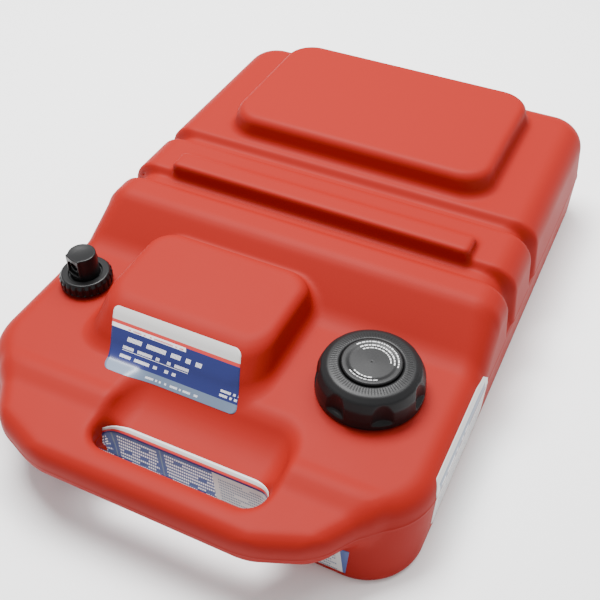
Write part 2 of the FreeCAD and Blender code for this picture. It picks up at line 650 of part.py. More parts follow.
def make_outlet_body():
    solids = [
        solid_cylinder("turret_barrel", "turret_radius", "turret_height - 1", z="1"),
        solid_cylinder("turret_flange", "flange_radius", "flange_height", z=FLANGE),
        solid_cylinder("turret_nipple", "tube_bore - snug_gap", "nipple_length + 1.5", y="tube_offset",
                       z="-nipple_length"),
        solid_box("turret_hood", "hood_width", "turret_flat", "turret_height - turret_start",
                  "-hood_width / 2", "-turret_flat", "turret_start"),
    ]
    voids = [
        solid_box("flat_cut", "3 * turret_radius", "turret_radius", "turret_height", "-1.5 * turret_radius",
                  "-turret_flat - turret_radius", "turret_start"),
        solid_box("arch_cut", "arch_width", "arch_depth + 1", "arch_drop", "-arch_width / 2",
                  "-turret_flat - 1", "port_height - arch_drop"),
        solid_cylinder("arch_round", "arch_width / 2", "arch_depth + 1", y="-turret_flat - 1",
                       z="port_height", along_y=True),
        solid_cylinder("port_bore", "port_radius", "turret_flat - port_shoulder + 1",
                       y="-turret_flat - 1", z="port_height", along_y=True),
        solid_cylinder("shoulder_hole", "shoulder_bore", "shoulder_wall + 2", y="-port_shoulder - 1",
                       z="port_height", along_y=True),
        solid_cylinder("valve_chamber", "chamber_radius", "chamber_end + port_shoulder - shoulder_wall",
                       y="shoulder_wall - port_shoulder", z="port_height", along_y=True),
        solid_cylinder("plug_hole", "plug_radius + snug_gap", "turret_radius", y="chamber_end",
                       z="port_height", along_y=True),
        solid_cylinder("fuel_way", "fuel_bore", "port_height + nipple_length + 1", y="tube_offset",
                       z="-nipple_length - 1"),
    ]
    solid = combine("Part::MultiFuse", "outlet_solid", solids)
    void = combine("Part::MultiFuse", "outlet_voids", voids)
    at_outlet(combine("Part::Cut", "outlet_body", [solid, void]))


def make_outlet_valve():
    plug = combine("Part::MultiFuse", "valve_plug", [
        solid_cylinder("plug_barrel", "plug_radius", "plug_depth", y="chamber_end", z="port_height",
                       along_y=True),
        solid_cylinder("plug_guide", "valve_spring_radius - valve_wire - 0.5", "1.2",
                       y="chamber_end - 1.2", z="port_height", along_y=True),
    ])
    at_outlet(plug)
    ring = combine("Part::Cut", "valve_seat_ring", [
        solid_cylinder("ring_outer", "valve_radius", "valve_ring", y="shoulder_wall - port_shoulder",
                       z="port_height", along_y=True),
        solid_cylinder("ring_bore", "shoulder_bore", "3", y="shoulder_wall - port_shoulder - 1",
                       z="port_height", along_y=True),
    ])
    at_outlet(ring)
    head = "(shoulder_wall - port_shoulder + valve_ring)"
    poppet = combine("Part::MultiFuse", "valve_poppet", [
        solid_cylinder("poppet_head", "valve_radius", "valve_height", y=head, z="port_height", along_y=True),
        solid_cylinder("poppet_nose", "valve_nose", "2.4", y=head + " - 1.9", z="port_height", along_y=True),
        solid_cylinder("poppet_stem", "valve_stem", "valve_height + 2", y=head, z="port_height",
                       along_y=True),
    ])
    at_outlet(poppet)
    low = worked(head) + size("valve_height") + size("spring_seat_gap")
    high = size("chamber_end") - size("spring_seat_gap")
    turn = Rotation(Vector(0, 0, 1), -size("port_angle"))
    base = outlet + Vector(0, 0, size("port_height"))
    spring("valve_spring", size("valve_spring_radius"), size("valve_wire"), low, high,
           size("spring_turns"), base, turn.multVec(Vector(0, 1, 0)))


def make_pickup():
    tube = combine("Part::Cut", "pickup_tube", [
        solid_cylinder("tube_outer", "tube_radius", "deck_height - tube_foot - 0.5", y="tube_offset",
                       z="tube_foot - deck_height"),
        solid_cylinder("tube_inner", "tube_bore", "deck_height", y="tube_offset",
                       z="tube_foot - deck_height - 1"),
    ])
    at_outlet(tube)
    foot = "strainer_foot - deck_height"
    cage = solid_cylinder("cage_outer", "strainer_radius", "strainer_height", y="tube_offset", z=foot)
    voids = [
        solid_cylinder("cage_inner", "strainer_radius - 1.2", "strainer_height - 6", y="tube_offset",
                       z=foot + " + 1.5"),
        solid_cylinder("cage_collar", "tube_radius + snug_gap", "strainer_height", y="tube_offset",
                       z=foot + " + 3"),
    ]
    for index in range(int(size("strainer_slots"))):
        slot = doc.addObject("Part::Box", "cage_slot")
        slot.setExpression("Length", bind("strainer_radius + 1"))
        slot.Width = 2
        slot.setExpression("Height", bind("strainer_height - 9"))
        turn = Rotation(Vector(0, 0, 1), 360.0 * index / size("strainer_slots"))
        middle = Vector(0, size("tube_offset"), size("strainer_foot") - size("deck_height") + 3)
        slot.Placement = Placement(middle + turn.multVec(Vector(0, -1, 0)), turn)
        voids.append(slot)
    void = combine("Part::MultiFuse", "cage_voids", voids)
    at_outlet(combine("Part::Cut", "pickup_strainer", [cage, void]))


def flat_label(name, width, length, left="0", low="0"):
    plate = doc.addObject("Part::Box", name)
    plate.Label = name
    plate.setExpression(".Placement.Base.x", bind(left))
    plate.setExpression(".Placement.Base.y", bind(low))
    plate.setExpression("Length", bind(width))
    plate.setExpression("Width", bind(length))
    plate.setExpression("Height", bind("label_height"))
    return plate


def make_boss_label():
    rise = size("boss_height") - (size("deck_height") - 12)
    run = size("boss_brow") - size("boss_toe")
    width = size("boss_label_width")
    length = size("boss_label_length")
    lean = size("boss_label_lean")
    low = (math.hypot(rise, run) - length) / 2
    corners = [Vector(-width / 2, low, 0), Vector(width / 2, low, 0),
               Vector(width / 2 - lean, low + length, 0), Vector(-width / 2 - lean, low + length, 0)]
    label = polygon_face(corners).extrude(Vector(0, 0, size("label_height")))
    uprights = edges_where(label, lambda box: box.ZLength > size("label_height") / 2)
    feature = place_feature("boss_label", label.makeFillet(size("label_corner"), uprights))
    middle = boss_left + size("boss_width") / 2 + size("boss_label_shift") + lean / 2
    foot = Vector(middle, from_front(size("boss_toe")), size("deck_height") - 12)
    feature.Placement = Placement(foot, Rotation(Vector(1, 0, 0), math.degrees(math.atan2(rise, run))))


def make_front_label():
    run = size("waist_setback") - size("foot_setback")
    lean = math.degrees(math.atan2(size("waist_height"), run))
    climb = math.sin(math.radians(lean))
    sheet.set("D1", str(climb))
    sheet.setAlias("D1", "front_climb")
    doc.recompute()
    wide_top = "((handle_base - 1) / front_climb)"
    half = "(waist_width / 2 - front_label_inset)"
    wide = flat_label("front_label_wide", "2 * " + half, wide_top + " - front_label_foot",
                      "-" + half, "front_label_foot")
    tall_width = "slot_width - 2 * label_margin"
    tall = flat_label("front_label_tall", tall_width, "front_label_top / front_climb - front_label_foot",
                      "-(" + tall_width + ") / 2", "front_label_foot")
    label = combine("Part::MultiFuse", "front_label", [wide, tall])
    turn = Rotation(Vector(1, 0, 0), lean)
    label.Placement = Placement(Vector(0, from_front(size("foot_setback")), 0), turn)


def make_side_label():
    label = flat_label("side_label", "side_label_top - side_label_foot", "side_label_end - side_label_start")
    label.setExpression(".Placement.Base.x", None)
    label.setExpression(".Placement.Base.y", None)
    floor = size("waist_width") / 2 - size("side_label_inset") + size("label_height")
    corner = Vector(floor, from_front(size("side_label_start")), size("side_label_foot"))
    label.Placement = Placement(corner, Rotation(Vector(0, 1, 0), -90))


place_feature("tank_shell", make_tank_shell())
make_cap_shell()
make_cap_core()
make_cap_pieces()
make_vent()
make_ring_nut()
make_outlet_rings()
make_outlet_body()
make_outlet_valve()
make_pickup()
make_boss_label()
make_front_label()
make_side_label()
doc.recompute()

NODES = [
    "tank_shell", "filler_cap_shell", "cap_disc", "cap_core", "cap_ratchet_ring", "cap_gasket",
    "vent_valve_body", "vent_poppet", "vent_seal", "vent_spring", "outlet_ring_nut", "outlet_slip_washer",
    "outlet_gasket", "outlet_body", "valve_plug", "valve_seat_ring", "valve_poppet", "valve_spring",
    "pickup_tube", "pickup_strainer", "boss_label", "front_label", "side_label",
]
for item in doc.Objects:
    if "Invalid" in item.State or "Error" in item.State:
        raise ValueError(item.Name + " failed to build")
for name in NODES:
    shape = doc.getObjectsByLabel(name)[0].Shape
    if shape.isNull() or not shape.isValid():
        raise ValueError(name + " has no valid shape")
    print("%s: %d solids, %.0f mm3" % (name, len(shape.Solids), shape.Volume))
for name in NODES:
    doc.getObjectsByLabel(name)[0].Shape.exportStep("parts/" + name + ".step")
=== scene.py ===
import math
import random

import bpy
import numpy as np
from mathutils import Matrix, Vector


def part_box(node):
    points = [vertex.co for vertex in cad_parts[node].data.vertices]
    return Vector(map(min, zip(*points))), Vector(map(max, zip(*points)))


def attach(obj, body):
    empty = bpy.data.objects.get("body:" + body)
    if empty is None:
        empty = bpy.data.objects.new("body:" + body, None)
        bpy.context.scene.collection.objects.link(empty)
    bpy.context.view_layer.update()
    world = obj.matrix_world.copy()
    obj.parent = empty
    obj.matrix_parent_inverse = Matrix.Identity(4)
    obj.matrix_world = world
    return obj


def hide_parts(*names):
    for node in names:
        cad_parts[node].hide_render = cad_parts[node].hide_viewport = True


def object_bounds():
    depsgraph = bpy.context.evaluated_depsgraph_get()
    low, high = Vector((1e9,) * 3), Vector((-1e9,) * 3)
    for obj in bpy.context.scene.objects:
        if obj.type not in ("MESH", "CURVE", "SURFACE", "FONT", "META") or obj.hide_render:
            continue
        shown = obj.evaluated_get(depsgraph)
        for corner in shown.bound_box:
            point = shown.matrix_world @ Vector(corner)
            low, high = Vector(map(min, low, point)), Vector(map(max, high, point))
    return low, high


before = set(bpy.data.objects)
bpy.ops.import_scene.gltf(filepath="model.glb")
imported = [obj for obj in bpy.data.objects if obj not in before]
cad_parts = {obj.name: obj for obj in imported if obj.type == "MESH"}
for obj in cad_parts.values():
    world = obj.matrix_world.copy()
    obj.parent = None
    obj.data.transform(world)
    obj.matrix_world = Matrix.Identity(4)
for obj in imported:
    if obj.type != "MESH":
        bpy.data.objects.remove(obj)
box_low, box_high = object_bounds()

# Tank skin: one blow-moulded piece of red polyethylene with soft edges everywhere, and hollow.
# Its form is a distance to the skin: bodies are fused and hollows carved, each with its own fillet,
# and a fine mesh is then wrapped round it. back is the distance behind the front of the handle.
mm = 0.001
handle_front = box_low.y
margin = 0.5 * mm
skin_wall = 9 * mm
waist_height = 56 * mm
shoulder_height = 117.3 * mm
deck_height = 80 * mm
tank_length = box_high.y - box_low.y
half_waist = box_high.x - margin
pad_top = box_high.z - margin / 2
pad_middle = 519.5 * mm
bar_middle = 350.5 * mm


def deck_place(ring_node):
    """The point on the deck under the middle of a ring."""
    low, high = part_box(ring_node)
    return Vector(((low.x + high.x) / 2, (low.y + high.y) / 2, deck_height))


filler = deck_place("cap_gasket")
outlet = deck_place("outlet_gasket")


def meet(first, second, radius):
    """What two forms share, its edge rounded."""
    inside = np.minimum(np.maximum(first, second), -radius)
    return inside + np.hypot(np.maximum(first + radius, 0), np.maximum(second + radius, 0))


def fuse(first, second, radius):
    """Two forms as one, the corner between them filled."""
    outside = np.maximum(np.minimum(first, second), radius)
    return outside - np.hypot(np.maximum(radius - first, 0), np.maximum(radius - second, 0))


def carve(form, tool, radius):
    return meet(form, -tool, radius)


def ease(value, low, high):
    """0 below low, 1 above high, and soft between."""
    share = np.clip((value - low) / (high - low), 0, 1)
    return share * share * (3 - 2 * share)


def soft_max(first, second, reach):
    share = np.maximum(reach - np.abs(first - second), 0) / reach
    return np.maximum(first, second) + share * share * reach / 4


def soft_min(first, second, reach):
    return -soft_max(-first, -second, reach)


groove_steps = ((311 * mm, 322 * mm, 332 * mm, 341 * mm), (391 * mm, 400 * mm, 406 * mm, 417 * mm))


def groove(back):
    """1 in the two channels that run across the top and down the sides, 0 elsewhere."""
    return sum(ease(back, start, floor_start) * (1 - ease(back, floor_end, end))
               for start, floor_start, floor_end, end in groove_steps)


def main_body(x, back, z):
    """The box: walls that lean from the waist, a low front deck, a slope and the high shoulders."""
    base_lean, shoulder_lean, groove_inset = 1.5 * mm, 6 * mm, 10 * mm
    channel = groove(back)
    half = half_waist - base_lean * np.maximum(waist_height - z, 0) / waist_height
    half = half - shoulder_lean * np.maximum(z - waist_height, 0) / (shoulder_height - waist_height)
    half = half - groove_inset * channel * ease(z, 50 * mm, 72 * mm)
    foot_setback, front_lean, most_lean = 46 * mm, 0.25, 15.5 * mm
    front = foot_setback + np.minimum(front_lean * z, most_lean)
    foot_corner, corner_gain, rear_corner = 50 * mm, 8 * mm, 37 * mm
    front_corner = foot_corner + corner_gain * np.clip(z / waist_height, 0, 1)
    side = np.abs(x) - half
    plan = np.maximum(meet(side, front - back, front_corner),
                      meet(side, back - (tank_length - margin), rear_corner))
    slope, slope_foot, groove_drop = 0.777, 238 * mm, 7 * mm
    rise = soft_max(deck_height + 0 * back, deck_height + slope * (back - slope_foot), 9 * mm)
    top = soft_min(rise, shoulder_height - groove_drop * channel, 6 * mm)
    on_slope = ease(back, 232 * mm, 246 * mm) * (1 - ease(back, 280 * mm, 292 * mm))
    lid = (z - top) / np.sqrt(1 + (slope * on_slope) ** 2)
    deck_edge, edge_gain, base_edge = 20 * mm, 6 * mm, 7 * mm
    edge = deck_edge + edge_gain * ease(back, slope_foot, 290 * mm)
    return meet(meet(plan, lid, edge), margin / 2 - z, base_edge)


def stacking_pad(x, back, z):
    """The raised pad that the recess of the next tank sits over."""
    half_width, half_length, corner, top_edge = 145 * mm, 89.5 * mm, 32 * mm, 8 * mm
    draft = 7 * mm * np.clip((pad_top - z) / (35 * mm), 0, 1)
    plan = meet(np.abs(x) - half_width - draft, np.abs(back - pad_middle) - half_length - draft, corner)
    return np.maximum(meet(plan, z - pad_top, top_edge), 100 * mm - z)


def cross_bar(x, back, z):
    """The bar across the middle block: steep in front and soft behind."""
    start, top, half_width = 334 * mm, 129.3 * mm, 162 * mm
    soft_rear = 0.8 * (back - 366 * mm) + 0.6 * (z - 120 * mm)
    bar = meet(meet(start - back, z - top, 5 * mm), soft_rear, 4 * mm)
    return np.maximum(meet(bar, np.abs(x) - half_width, 6 * mm), 100 * mm - z)


def handle(x, back, z):
    """The front shelf with its hand slot. Seen from above, its sides slant through the points
    (100, 0), (151, 21) and (184, 71) mm."""
    side = np.abs(x)
    slant = (21 * (side - 100 * mm) - 51 * back) / 55.2
    cheek = (50 * (side - 151 * mm) - 33 * (back - 21 * mm)) / 59.9
    plan = meet(margin - back, slant, 6 * mm)
    plan = meet(meet(plan, cheek, 9 * mm), side - 184 * mm, 5 * mm)
    middle_height, half_height = 58 * mm, 18 * mm
    bar = meet(np.maximum(plan, back - 86 * mm), np.abs(z - middle_height) - half_height, 15 * mm)
    slot_middle, slot_half, slot_start, slot_corner = 14.5 * mm, 80.5 * mm, 32 * mm, 15 * mm
    finger_hole = meet(np.abs(x - slot_middle) - slot_half, slot_start - back, slot_corner)
    return carve(bar, finger_hole, 8 * mm)


def finger_scoop(x, back, z):
    """The trough behind the hand slot."""
    middle, half_width, end_round, radius = 16 * mm, 84 * mm, 24 * mm, 63 * mm
    trough = np.hypot(back - 70 * mm, z - 123 * mm) - radius
    return meet(trough, np.abs(x - middle) - half_width, end_round)


def label_boss(x, back, z):
    """The raised boss, its front cut to the slope that the name plate lies on."""
    middle, half_width, toe, rear = -43 * mm, 90 * mm, 104 * mm, 264 * mm
    lean = 0.2 * (z - deck_height)
    across = np.abs(x - middle) - half_width + lean
    plan = meet(across, toe - back, 30 * mm)
    plan = np.maximum(plan, meet(across, back - rear + lean, 26 * mm))
    face = -0.7035 * (back - toe) + 0.711 * (z - 68 * mm)
    boss = meet(meet(plan, face, 24 * mm), z - 114.5 * mm, 9 * mm)
    return np.maximum(boss, 40 * mm - z)


def underside_recess(x, back, z):
    """The room under the base for the pad and the bar of the tank below."""
    pad_depth, bar_depth = 23.5 * mm, 14 * mm
    draft = 5 * mm * np.clip(1 - z / (24 * mm), 0, 1)
    pad_room = meet(np.abs(x) - 148 * mm - draft, np.abs(back - pad_middle) - 92.5 * mm - draft, 34 * mm)
    pad_room = meet(pad_room, z - pad_depth, 5 * mm)
    bar_room = meet(np.abs(x) - 165 * mm, np.abs(back - bar_middle) - 20.5 * mm, 8 * mm)
    return np.minimum(pad_room, meet(bar_room, z - bar_depth, 3 * mm))


def outer_form(x, y, z):
    """The outside of the skin, with the fine ridge of the mould's parting line at the waist."""
    back = y - handle_front
    seam_height, seam_width = 0.4 * mm, 0.9 * mm
    form = fuse(main_body(x, back, z), handle(x, back, z), 12 * mm)
    form = carve(form, finger_scoop(x, back, z), 7 * mm)
    form = fuse(form, label_boss(x, back, z), 9 * mm)
    form = fuse(form, stacking_pad(x, back, z), 7 * mm)
    form = fuse(form, cross_bar(x, back, z), 6 * mm)
    form = carve(form, underside_recess(x, back, z), 3 * mm)
    return form - seam_height * np.exp(-((z - waist_height) / seam_width) ** 2)


def skin_form(x, y, z):
    """The skin itself: hollow, with a sump under the outlet, and open under both necks."""
    solid = outer_form(x, y, z)
    sump = np.maximum(np.hypot(x - outlet.x, y - outlet.y) - 16 * mm, np.abs(z - 25 * mm) - 20 * mm)
    hollow = np.minimum(solid + skin_wall, sump)
    skin = np.maximum(solid, -hollow)
    filler_bore = np.hypot(x - filler.x, y - filler.y) - 30.5 * mm
    outlet_bore = np.hypot(x - outlet.x, y - outlet.y) - 15.5 * mm
    bores = np.maximum(np.minimum(filler_bore, outlet_bore), np.abs(z - deck_height) - 14 * mm)
    return np.maximum(skin, -bores)


def slope_of(form, points, step):
    """The gradient of a form at each point."""
    parts = []
    for axis in range(3):
        shift = np.zeros(3)
        shift[axis] = step
        ahead, behind = points + shift, points - shift
        parts.append((form(*ahead.T) - form(*behind.T)) / (2 * step))
    return np.stack(parts, 1)


def wrap(form, xs, ys, zs, rounds=3, reach=1.5 * mm):
    """Vertices and quads on the zero surface of a form, found on a grid and then pulled onto it."""
    value = form(xs[:, None, None], ys[None, :, None], zs[None, None, :])
    inside = value < 0
    corners = [(i, j, k) for i in (0, 1) for j in (0, 1) for k in (0, 1)]
    shape = [n - 1 for n in value.shape]

    def corner(array, c):
        return array[c[0]:c[0] + shape[0], c[1]:c[1] + shape[1], c[2]:c[2] + shape[2]]

    count = sum(corner(inside, c).astype(np.int8) for c in corners)
    cells = np.nonzero((count > 0) & (count < 8))
    total = np.zeros((len(cells[0]), 3))
    hits = np.zeros(len(cells[0]))
    axes = (xs, ys, zs)
    at = {c: value[cells[0] + c[0], cells[1] + c[1], cells[2] + c[2]] for c in corners}
    for c in corners:
        for axis in range(3):
            if c[axis]:
                continue
            d = tuple(1 if i == axis else c[i] for i in range(3))
            crossing = (at[c] < 0) != (at[d] < 0)
            gap = np.where(crossing, at[c] - at[d], 1)
            share = np.where(crossing, at[c] / gap, 0)
            for i in range(3):
                start = axes[i][cells[i] + c[i]]
                end = axes[i][cells[i] + d[i]]
                total[:, i] += np.where(crossing, start + share * (end - start), 0)
            hits += crossing
    points = total / hits[:, None]
    number = np.full(shape, -1)
    number[cells] = np.arange(len(points))
    quads = []
    for axis in range(3):
        u, v = [i for i in range(3) if i != axis]
        low = [slice(1, n - 1) for n in value.shape]
        low[axis] = slice(0, value.shape[axis] - 1)
        high = list(low)
        high[axis] = slice(1, value.shape[axis])
        first, second = inside[tuple(low)], inside[tuple(high)]
        for leaving in (True, False):
            where = np.nonzero((first & ~second) if leaving else (~first & second))
            base = [w + (low[i].start or 0) for i, w in enumerate(where)]
            ring = []
            for du, dv in ((-1, -1), (0, -1), (0, 0), (-1, 0)):
                cell = list(base)
                cell[u] = base[u] + du
                cell[v] = base[v] + dv
                ring.append(number[tuple(cell)])
            quad = np.stack(ring, 1)
            turned = leaving if axis != 1 else not leaving
            quads.append(quad if turned else quad[:, ::-1])
    step, least_slope = 0.2 * mm, 0.2
    for _ in range(rounds):
        slope = slope_of(form, points, step)
        steep = np.maximum((slope ** 2).sum(1), least_slope)
        move = -(form(*points.T) / steep)[:, None] * slope
        length = np.linalg.norm(move, axis=1)
        points = points + move * np.minimum(1, reach / np.maximum(length, 1e-9))[:, None]
    return points, np.concatenate(quads)


def make_piece(name, points, faces, body, paint):
    """A smooth-shaded mesh that rides on a body."""
    mesh = bpy.data.meshes.new(name)
    mesh.from_pydata(np.asarray(points).tolist(), [], np.asarray(faces).tolist())
    mesh.polygons.foreach_set("use_smooth", np.ones(len(mesh.polygons), bool))
    mesh.materials.append(paint)
    mesh.update()
    piece = bpy.data.objects.new(name, mesh)
    bpy.context.scene.collection.objects.link(piece)
    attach(piece, body)
    return piece


def new_paint(name, colour, roughness, **sockets):
    """A plain material. Further sockets are named with _ for each space."""
    paint = bpy.data.materials.new(name)
    paint.use_nodes = True
    shader = paint.node_tree.nodes["Principled BSDF"]
    shader.inputs["Base Color"].default_value = (*colour, 1)
    shader.inputs["Roughness"].default_value = roughness
    for socket, value in sockets.items():
        shader.inputs[socket.replace("_", " ")].default_value = value
    return paint


def add_grain(paint, scale, height, rough_low, rough_high):
    """Fine moulded grain: a shallow bump, with the gloss broken up in larger clouds."""
    nodes, links = paint.node_tree.nodes, paint.node_tree.links
    shader = nodes["Principled BSDF"]
    place = nodes.new("ShaderNodeTexCoord")
    grain = nodes.new("ShaderNodeTexNoise")
    grain.inputs["Scale"].default_value = scale
    grain.inputs["Detail"].default_value = 3
    links.new(place.outputs["Object"], grain.inputs["Vector"])
    bump = nodes.new("ShaderNodeBump")
    bump.inputs["Strength"].default_value = 0.25
    bump.inputs["Distance"].default_value = height
    links.new(grain.outputs["Fac"], bump.inputs["Height"])
    links.new(bump.outputs["Normal"], shader.inputs["Normal"])
    clouds = nodes.new("ShaderNodeTexNoise")
    clouds.inputs["Scale"].default_value = scale / 60
    clouds.inputs["Detail"].default_value = 4
    links.new(place.outputs["Object"], clouds.inputs["Vector"])
    spread = nodes.new("ShaderNodeMapRange")
    spread.inputs["To Min"].default_value = rough_low
    spread.inputs["To Max"].default_value = rough_high
    links.new(clouds.outputs["Fac"], spread.inputs["Value"])
    links.new(spread.outputs["Result"], shader.inputs["Roughness"])
    return clouds


tank_red = new_paint("tank_red", (0.25, 0.010, 0.006), 0.55, Specular_IOR_Level=0.1)
add_grain(tank_red, 900, 0.15 * mm, 0.5, 0.62)

pitch = 2.8 * mm
reach_x = box_high.x + 3 * mm
reach_y = box_high.y + 3 * mm
across = np.arange(-reach_x, reach_x + pitch, pitch)
along = np.arange(-reach_y, reach_y + pitch, pitch)
upward = np.arange(-3 * mm, box_high.z + 2 * pitch, pitch * 0.9)
seam_steps = np.array([-2.4, -1.2, -0.6, -0.2, 0.2, 0.6, 1.2, 2.4]) * mm + waist_height
away_from_seam = np.abs(upward - waist_height) > 3.2 * mm
upward = np.sort(np.concatenate([upward[away_from_seam], seam_steps]))
skin_points, skin_faces = wrap(skin_form, across, along, upward)
tank_skin = make_piece("tank_skin", skin_points, skin_faces, "tank", tank_red)
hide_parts("tank_shell")

# Necks: the two threaded spouts, moulded in one with the skin, that the cap and the ring nut screw on.
# Each is turned round its axis, with the thread as a ridge that climbs round the outside.


def turned_piece(name, ring, centre, count, body, paint, shape=None):
    """A closed ring of (radius, height) points turned round an upright axis.
    shape gives the radius of every point from its own radius, height and angle."""
    ring = np.array(ring, float)
    angle = np.arange(count) * 2 * math.pi / count
    radius = np.repeat(ring[:, :1], count, 1)
    height = np.repeat(ring[:, 1:2], count, 1)
    if shape:
        radius, height = shape(radius, height, np.repeat(angle[None], len(ring), 0))
    points = np.stack([centre.x + radius * np.cos(angle), centre.y + radius * np.sin(angle),
                       centre.z + height], 2).reshape(-1, 3)
    faces = []
    for i in range(len(ring)):
        for j in range(count):
            k, n = (i + 1) % len(ring), (j + 1) % count
            faces.append((i * count + j, i * count + n, k * count + n, k * count + j))
    return make_piece(name, points, faces, body, paint)


def fine_ring(corners, step, rounding=0.0):
    """A closed outline of (radius, height) corners with its corners rounded and its sides cut fine."""
    corners = [np.array(c, float) for c in corners]
    points = []
    for i, corner in enumerate(corners):
        before, after = corners[i - 1] - corner, corners[(i + 1) % len(corners)] - corner
        long_before, long_after = np.linalg.norm(before), np.linalg.norm(after)
        cut = min(rounding, long_before * 0.45, long_after * 0.45)
        start, end = corner + before / long_before * cut, corner + after / long_after * cut
        for share in (0, 0.25, 0.5, 0.75, 1) if cut else (0,):
            bend = (1 - share) ** 2 * start + 2 * share * (1 - share) * corner + share ** 2 * end
            points.append(bend)
    fine = []
    for i, point in enumerate(points):
        following = points[(i + 1) % len(points)]
        pieces = max(1, int(np.linalg.norm(following - point) / step))
        fine += [point + (following - point) * k / pieces for k in range(pieces)]
    return fine


def thread_on(root, depth, start, turns, lead):
    """Lifts the outside of a neck into a screw thread."""
    half_root, flank = 0.19 * lead, 0.11 * lead

    def shape(radius, height, angle):
        turn = angle / (2 * math.pi)
        ridge = np.zeros_like(radius)
        for lap in range(int(turns) + 2):
            climbed = turn + lap
            near = np.abs(height - start - climbed * lead)
            ends = np.clip(climbed * 6, 0, 1) * np.clip((turns - climbed) * 6, 0, 1)
            ridge = np.maximum(ridge, np.clip((half_root - near) / flank, 0, 1) * ends)
        outside = radius > root - 0.1 * mm
        return radius + np.where(outside, ridge * depth, 0), height
    return shape


def neck(name, place, root, bore, tall, shape):
    low = -5.5 * mm
    sides = 144
    corners = [(root, low), (root, tall), (bore, tall), (bore, low)]
    return turned_piece(name, fine_ring(corners, 0.5 * mm, 0.6 * mm), place, sides, "tank", tank_red,
                        shape)


neck("filler_neck", filler, 34 * mm, 30 * mm, 22 * mm, thread_on(34 * mm, 1.6 * mm, 6 * mm, 1.2, 8 * mm))
neck("outlet_neck", outlet, 19.5 * mm, 15.5 * mm, 8.5 * mm,
     thread_on(19.5 * mm, 1.1 * mm, 2.2 * mm, 1, 4 * mm))

# Filler cap: a black moulded grip with seven finger flutes that end on small ledges, and a cone-shaped
# shoulder with fine radial ribs. It turns over the grey core and snaps over it at the ratchet ring.
cap_black = new_paint("cap_black", (0.007, 0.007, 0.0075), 0.42, Specular_IOR_Level=0.22)
add_grain(cap_black, 1400, 0.1 * mm, 0.33, 0.47)
cap_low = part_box("filler_cap_shell")[0].z - deck_height
cap_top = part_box("filler_cap_shell")[1].z - deck_height
cap_radius = 48.1 * mm
flute_angle = math.radians(-4)
flutes = 7
flute_radius = 15 * mm
flute_depth = 4.6 * mm


def cap_grip(radius, height, angle):
    """Cuts the flutes into the side above their ledges, and raises the ribs on the cone."""
    step = 2 * math.pi / flutes
    away = (angle - flute_angle + step / 2) % step - step / 2
    middle = cap_radius + flute_radius - flute_depth
    off = middle * np.sin(away)
    reach = np.sqrt(np.maximum(flute_radius ** 2 - off ** 2, 0))
    hollow = np.where(np.abs(off) < flute_radius, middle * np.cos(away) - reach, 1)
    fade = ease(height - cap_low, 5.4 * mm, 7.6 * mm)
    grip = np.where(radius > 42.5 * mm, soft_min(radius, hollow, 1.2 * mm), radius)
    radius = radius + (grip - radius) * fade
    rib_wave, rib_height = 84, 0.3 * mm
    rib = np.maximum(0, np.cos(angle * rib_wave)) ** 2 * rib_height
    on_cone = ease(radius, 29.5 * mm, 30.2 * mm) * (1 - ease(radius, 34.5 * mm, 35.2 * mm))
    above = height > cap_top - 4 * mm
    return radius, height + np.where(above, rib * on_cone, 0)


cap_outline = [(cap_radius - 0.4 * mm, cap_low), (cap_radius, cap_low + 1.2 * mm),
               (cap_radius, cap_low + 9 * mm), (cap_radius - 1.1 * mm, cap_low + 19 * mm),
               (cap_radius - 4.6 * mm, cap_low + 27 * mm), (cap_radius - 10 * mm, cap_top - 1.3 * mm),
               (28.6 * mm, cap_top - 0.1 * mm), (26.9 * mm, cap_top - 1.5 * mm), (26.9 * mm, 29 * mm),
               (20 * mm, 29 * mm), (20 * mm, 27.6 * mm), (31.5 * mm, 27.6 * mm), (31.5 * mm, 30.4 * mm),
               (38.8 * mm, 30.4 * mm), (38.8 * mm, 16 * mm), (41.4 * mm, 16 * mm), (41.4 * mm, cap_low)]
cap_sides = 672
cap_shell = turned_piece("filler_cap", fine_ring(cap_outline, 0.9 * mm, 1.4 * mm), filler, cap_sides,
                         "filler_cap", cap_black, cap_grip)
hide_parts("filler_cap_shell")

# Cap disc: a black moulded lid with a shallow dish, pressed into the top of the cap.
# Plain broken arcs are printed on it in white.
print_white = new_paint("print_white", (0.62, 0.62, 0.62), 0.5)
disc_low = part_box("cap_disc")[0].z - deck_height
disc_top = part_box("cap_disc")[1].z - deck_height
disc_ring = fine_ring([(0.01 * mm, disc_low), (26.4 * mm, disc_low), (26.4 * mm, disc_top - 0.8 * mm),
                       (25.4 * mm, disc_top), (22 * mm, disc_top), (19 * mm, disc_top - 0.9 * mm),
                       (0.01 * mm, disc_top - 0.5 * mm)], 1.2 * mm, 1 * mm)
disc = turned_piece("cap_disc_lid", disc_ring, filler, 128, "filler_cap", cap_black)
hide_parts("cap_disc")


def disc_height(radius):
    outline = [(0, disc_top - 0.5 * mm), (19 * mm, disc_top - 0.9 * mm), (22 * mm, disc_top),
               (25.4 * mm, disc_top)]
    return np.interp(radius, [r for r, _ in outline], [h for _, h in outline])


